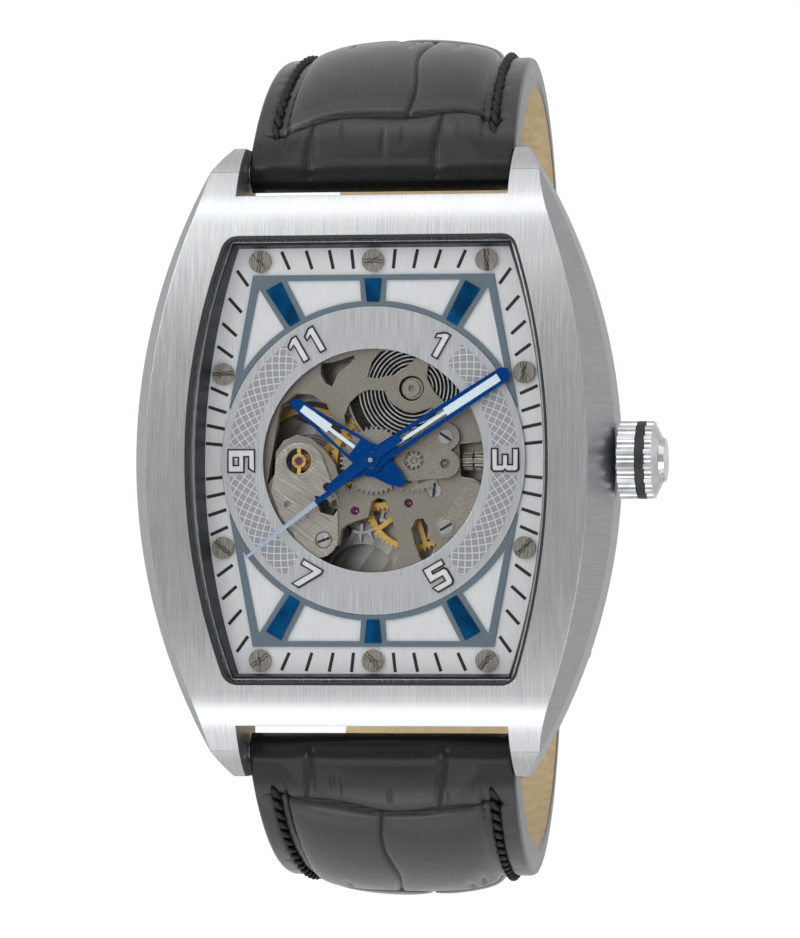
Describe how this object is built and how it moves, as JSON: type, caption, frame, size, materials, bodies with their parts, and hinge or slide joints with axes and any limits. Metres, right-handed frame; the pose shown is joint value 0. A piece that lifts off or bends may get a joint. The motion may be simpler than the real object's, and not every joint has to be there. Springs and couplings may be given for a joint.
{
  "type": "skeleton automatic wristwatch",
  "caption": "Barrel-shaped wristwatch with an open-worked dial over a moving gear train, fluted crown, padded leather strap and pin buckle.",
  "frame": {"origin": "on the surface the closed watch stands on, under the movement's axis, in the lower face of the fixed strap keeper", "axes": "+Z out of the dial, +X towards the crown at three o'clock, +Y towards twelve o'clock"},
  "size_m": [0.0466, 0.0772, 0.0529],
  "materials": {
    "brushed_case_steel": "fine brushed",
    "polished_steel": "polished",
    "sapphire": "clear, polished",
    "black_rubber": "satin",
    "silver_dial": "fine satin",
    "grey_blue_lacquer": "satin",
    "deep_blue_lacquer": "gloss",
    "dark_flange": "gloss",
    "pale_lume": "matte",
    "blued_hand": "gloss",
    "plate_nickel": "grained",
    "bright_nickel": "brushed",
    "gilt_brass": "satin",
    "ruby": "polished",
    "spring_steel": "polished",
    "blued_spring": "polished",
    "black_leather": "embossed, semi-gloss"
  },
  "bodies": {
    "case": {"case_band": "brushed_case_steel", "bezel": "brushed_case_steel", "inner_flange": "dark_flange", "crystal": "sapphire", "crystal_gasket": "black_rubber", "case_back": "brushed_case_steel", "back_crystal": "sapphire", "case_back_screws": "polished_steel", "crown_tube": "polished_steel", "movement_ring": "plate_nickel", "dial_plate": "silver_dial", "dial_frame": "grey_blue_lacquer", "chapter_ring": "silver_dial", "hour_batons": "deep_blue_lacquer", "hour_numerals": "silver_dial", "dial_screws": "polished_steel", "main_plate": "plate_nickel", "balance_plate": "bright_nickel", "keyless_cover": "plate_nickel", "setting_spring": "bright_nickel", "movement_screws": "polished_steel", "jewels": "ruby", "shock_setting": "gilt_brass", "pallet_bridge": "plate_nickel", "hairspring": "blued_spring", "balance_cock": "bright_nickel", "train_bridge": "plate_nickel", "barrel_bridge": "plate_nickel", "rotor_axle": "polished_steel", "strap_short": "black_leather", "strap_long": "black_leather", "spring_bars": "polished_steel", "buckle": "polished_steel", "fixed_keeper": "black_leather"},
    "seconds": {"second_hand": "blued_hand", "fourth_wheel": "gilt_brass"},
    "minutes": {"minute_hand": "blued_hand", "minute_hand_lume": "pale_lume", "cannon_pinion": "polished_steel", "centre_wheel": "gilt_brass"},
    "hours": {"hour_hand": "blued_hand", "hour_hand_lume": "pale_lume", "hour_wheel": "bright_nickel"},
    "motion_wheel": {"minute_wheel": "bright_nickel"},
    "third": {"third_wheel": "gilt_brass"},
    "escape": {"escape_wheel": "polished_steel"},
    "barrel": {"barrel": "bright_nickel", "mainspring": "spring_steel"},
    "fork": {"pallet_fork": "polished_steel"},
    "balance": {"balance_wheel": "gilt_brass"},
    "winding": {"ratchet_wheel": "bright_nickel", "barrel_arbor": "polished_steel"},
    "winding_crown_wheel": {"crown_wheel": "bright_nickel"},
    "setting": {"setting_lever": "bright_nickel"},
    "crown": {"crown": "polished_steel", "crown_ring": "black_rubber", "winding_stem": "polished_steel"},
    "rotor": {"rotor": "bright_nickel"},
    "tongue": {"buckle_tongue": "polished_steel"},
    "keeper": {"free_keeper": "black_leather"}
  },
  "joints": [
    {"name": "seconds_turn", "type": "hinge", "parent": "case", "child": "seconds", "pos_m": [0, 0, 0.0454], "axis": [0, 0, -1], "continuous": true},
    {"name": "minutes_turn", "type": "hinge", "parent": "case", "child": "minutes", "pos_m": [0, 0, 0.0464], "axis": [0, 0, -1], "continuous": true},
    {"name": "hours_turn", "type": "hinge", "parent": "case", "child": "hours", "pos_m": [0, 0, 0.0484], "axis": [0, 0, -1], "continuous": true},
    {"name": "motion_wheel_turn", "type": "hinge", "parent": "case", "child": "motion_wheel", "pos_m": [0.0036, 0, 0.0482], "axis": [0, 0, -1], "continuous": true},
    {"name": "third_turn", "type": "hinge", "parent": "case", "child": "third", "pos_m": [0.00297, -0.00369, 0.0457], "axis": [0, 0, -1], "continuous": true},
    {"name": "escape_turn", "type": "hinge", "parent": "case", "child": "escape", "pos_m": [-0.00177, -0.00436, 0.0446], "axis": [0, 0, -1], "continuous": true},
    {"name": "barrel_turn", "type": "hinge", "parent": "case", "child": "barrel", "pos_m": [0.00324, 0.0063, 0.0469], "axis": [0, 0, -1], "continuous": true},
    {"name": "fork_swing", "type": "hinge", "parent": "case", "child": "fork", "pos_m": [-0.00414, -0.00226, 0.0446], "axis": [0, 0, -1], "range_deg": [-3.5, 3.5]},
    {"name": "balance_swing", "type": "hinge", "parent": "case", "child": "balance", "pos_m": [-0.00671, 0, 0.0436], "axis": [0, 0, -1], "range_deg": [-270, 270], "stiffness_Nm_per_rad": 0.0000013},
    {"name": "winding_turn", "type": "hinge", "parent": "case", "child": "winding", "pos_m": [0.00324, 0.0063, 0.0454], "axis": [0, 0, -1], "continuous": true},
    {"name": "crown_wheel_turn", "type": "hinge", "parent": "case", "child": "winding_crown_wheel", "pos_m": [0.0086, 0.0032, 0.0454], "axis": [0, 0, -1], "continuous": true},
    {"name": "stem_pull", "type": "slide", "parent": "case", "child": "setting", "axis": [1, 0, 0], "range_m": [0, 0.0012]},
    {"name": "crown_turn", "type": "hinge", "parent": "setting", "child": "crown", "pos_m": [0.023, 0, 0.0466], "axis": [1, 0, 0], "continuous": true},
    {"name": "rotor_turn", "type": "hinge", "parent": "case", "child": "rotor", "pos_m": [0, 0, 0.0417], "axis": [0, 0, -1], "continuous": true},
    {"name": "tongue_swing", "type": "hinge", "parent": "case", "child": "tongue", "pos_m": [0, -0.006, 0.0045], "axis": [1, 0, 0], "range_deg": [0, 16]},
    {"name": "keeper_slide", "type": "slide", "parent": "case", "child": "keeper", "axis": [0, 1, 0], "range_m": [-0.002, 0.002]}
  ],
  "couplings": [
    {"joint": "third_turn", "follows": "seconds_turn", "ratio": -0.13333},
    {"joint": "minutes_turn", "follows": "seconds_turn", "ratio": 0.016667},
    {"joint": "barrel_turn", "follows": "seconds_turn", "ratio": -0.0027778},
    {"joint": "motion_wheel_turn", "follows": "seconds_turn", "ratio": -0.0055556},
    {"joint": "hours_turn", "follows": "seconds_turn", "ratio": 0.0013889},
    {"joint": "escape_turn", "follows": "seconds_turn", "ratio": -10},
    {"joint": "crown_wheel_turn", "follows": "crown_turn", "ratio": 0.35},
    {"joint": "winding_turn", "follows": "crown_turn", "ratio": -0.38889}
  ]
}
